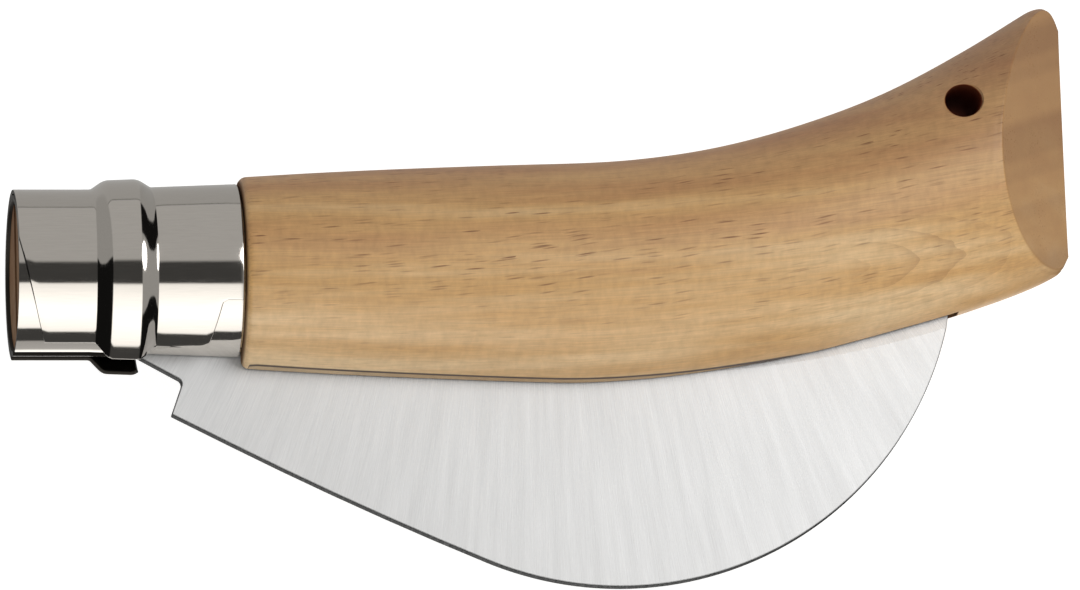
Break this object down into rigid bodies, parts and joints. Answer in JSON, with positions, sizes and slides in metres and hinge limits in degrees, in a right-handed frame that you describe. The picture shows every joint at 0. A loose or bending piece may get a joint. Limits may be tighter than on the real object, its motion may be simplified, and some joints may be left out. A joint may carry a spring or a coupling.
{
  "type": "pruning knife",
  "caption": "Folding pruning knife with a sickle blade, a turning steel lock ring on a slotted collar, and a curved beech handle with a faceted butt and a lanyard hole.",
  "frame": {"origin": "middle of the bounding box, on its lowest face: the knife lies on its far side, closed", "axes": "+X along the collar's axis from the collar towards the butt, +Y from the blade's side towards the handle's back, +Z across the handle, up from the side it lies on"},
  "size_m": [0.136, 0.0756, 0.0247],
  "materials": {
    "beech": "clear varnish, half gloss",
    "collar_steel": "polished",
    "ring_steel": "polished",
    "blade_steel": "ground across its length, satin",
    "rivet_steel": "bare, peened"
  },
  "bodies": {
    "handle_body": {"handle": "beech", "ferrule": "collar_steel", "pivot_pin": "rivet_steel"},
    "blade_body": {"blade": "blade_steel"},
    "ring_body": {"lock_ring": "ring_steel"}
  },
  "joints": [
    {"name": "blade_fold", "type": "hinge", "parent": "handle_body", "child": "blade_body", "pos_m": [-0.05537, 0.00253, 0.01238], "axis": [0, 0, -1], "range_deg": [0, 160.5]},
    {"name": "ring_turn", "type": "hinge", "parent": "handle_body", "child": "ring_body", "pos_m": [-0.05367, 0.00293, 0.01238], "axis": [-1, 0, 0], "range_deg": [0, 35]}
  ]
}
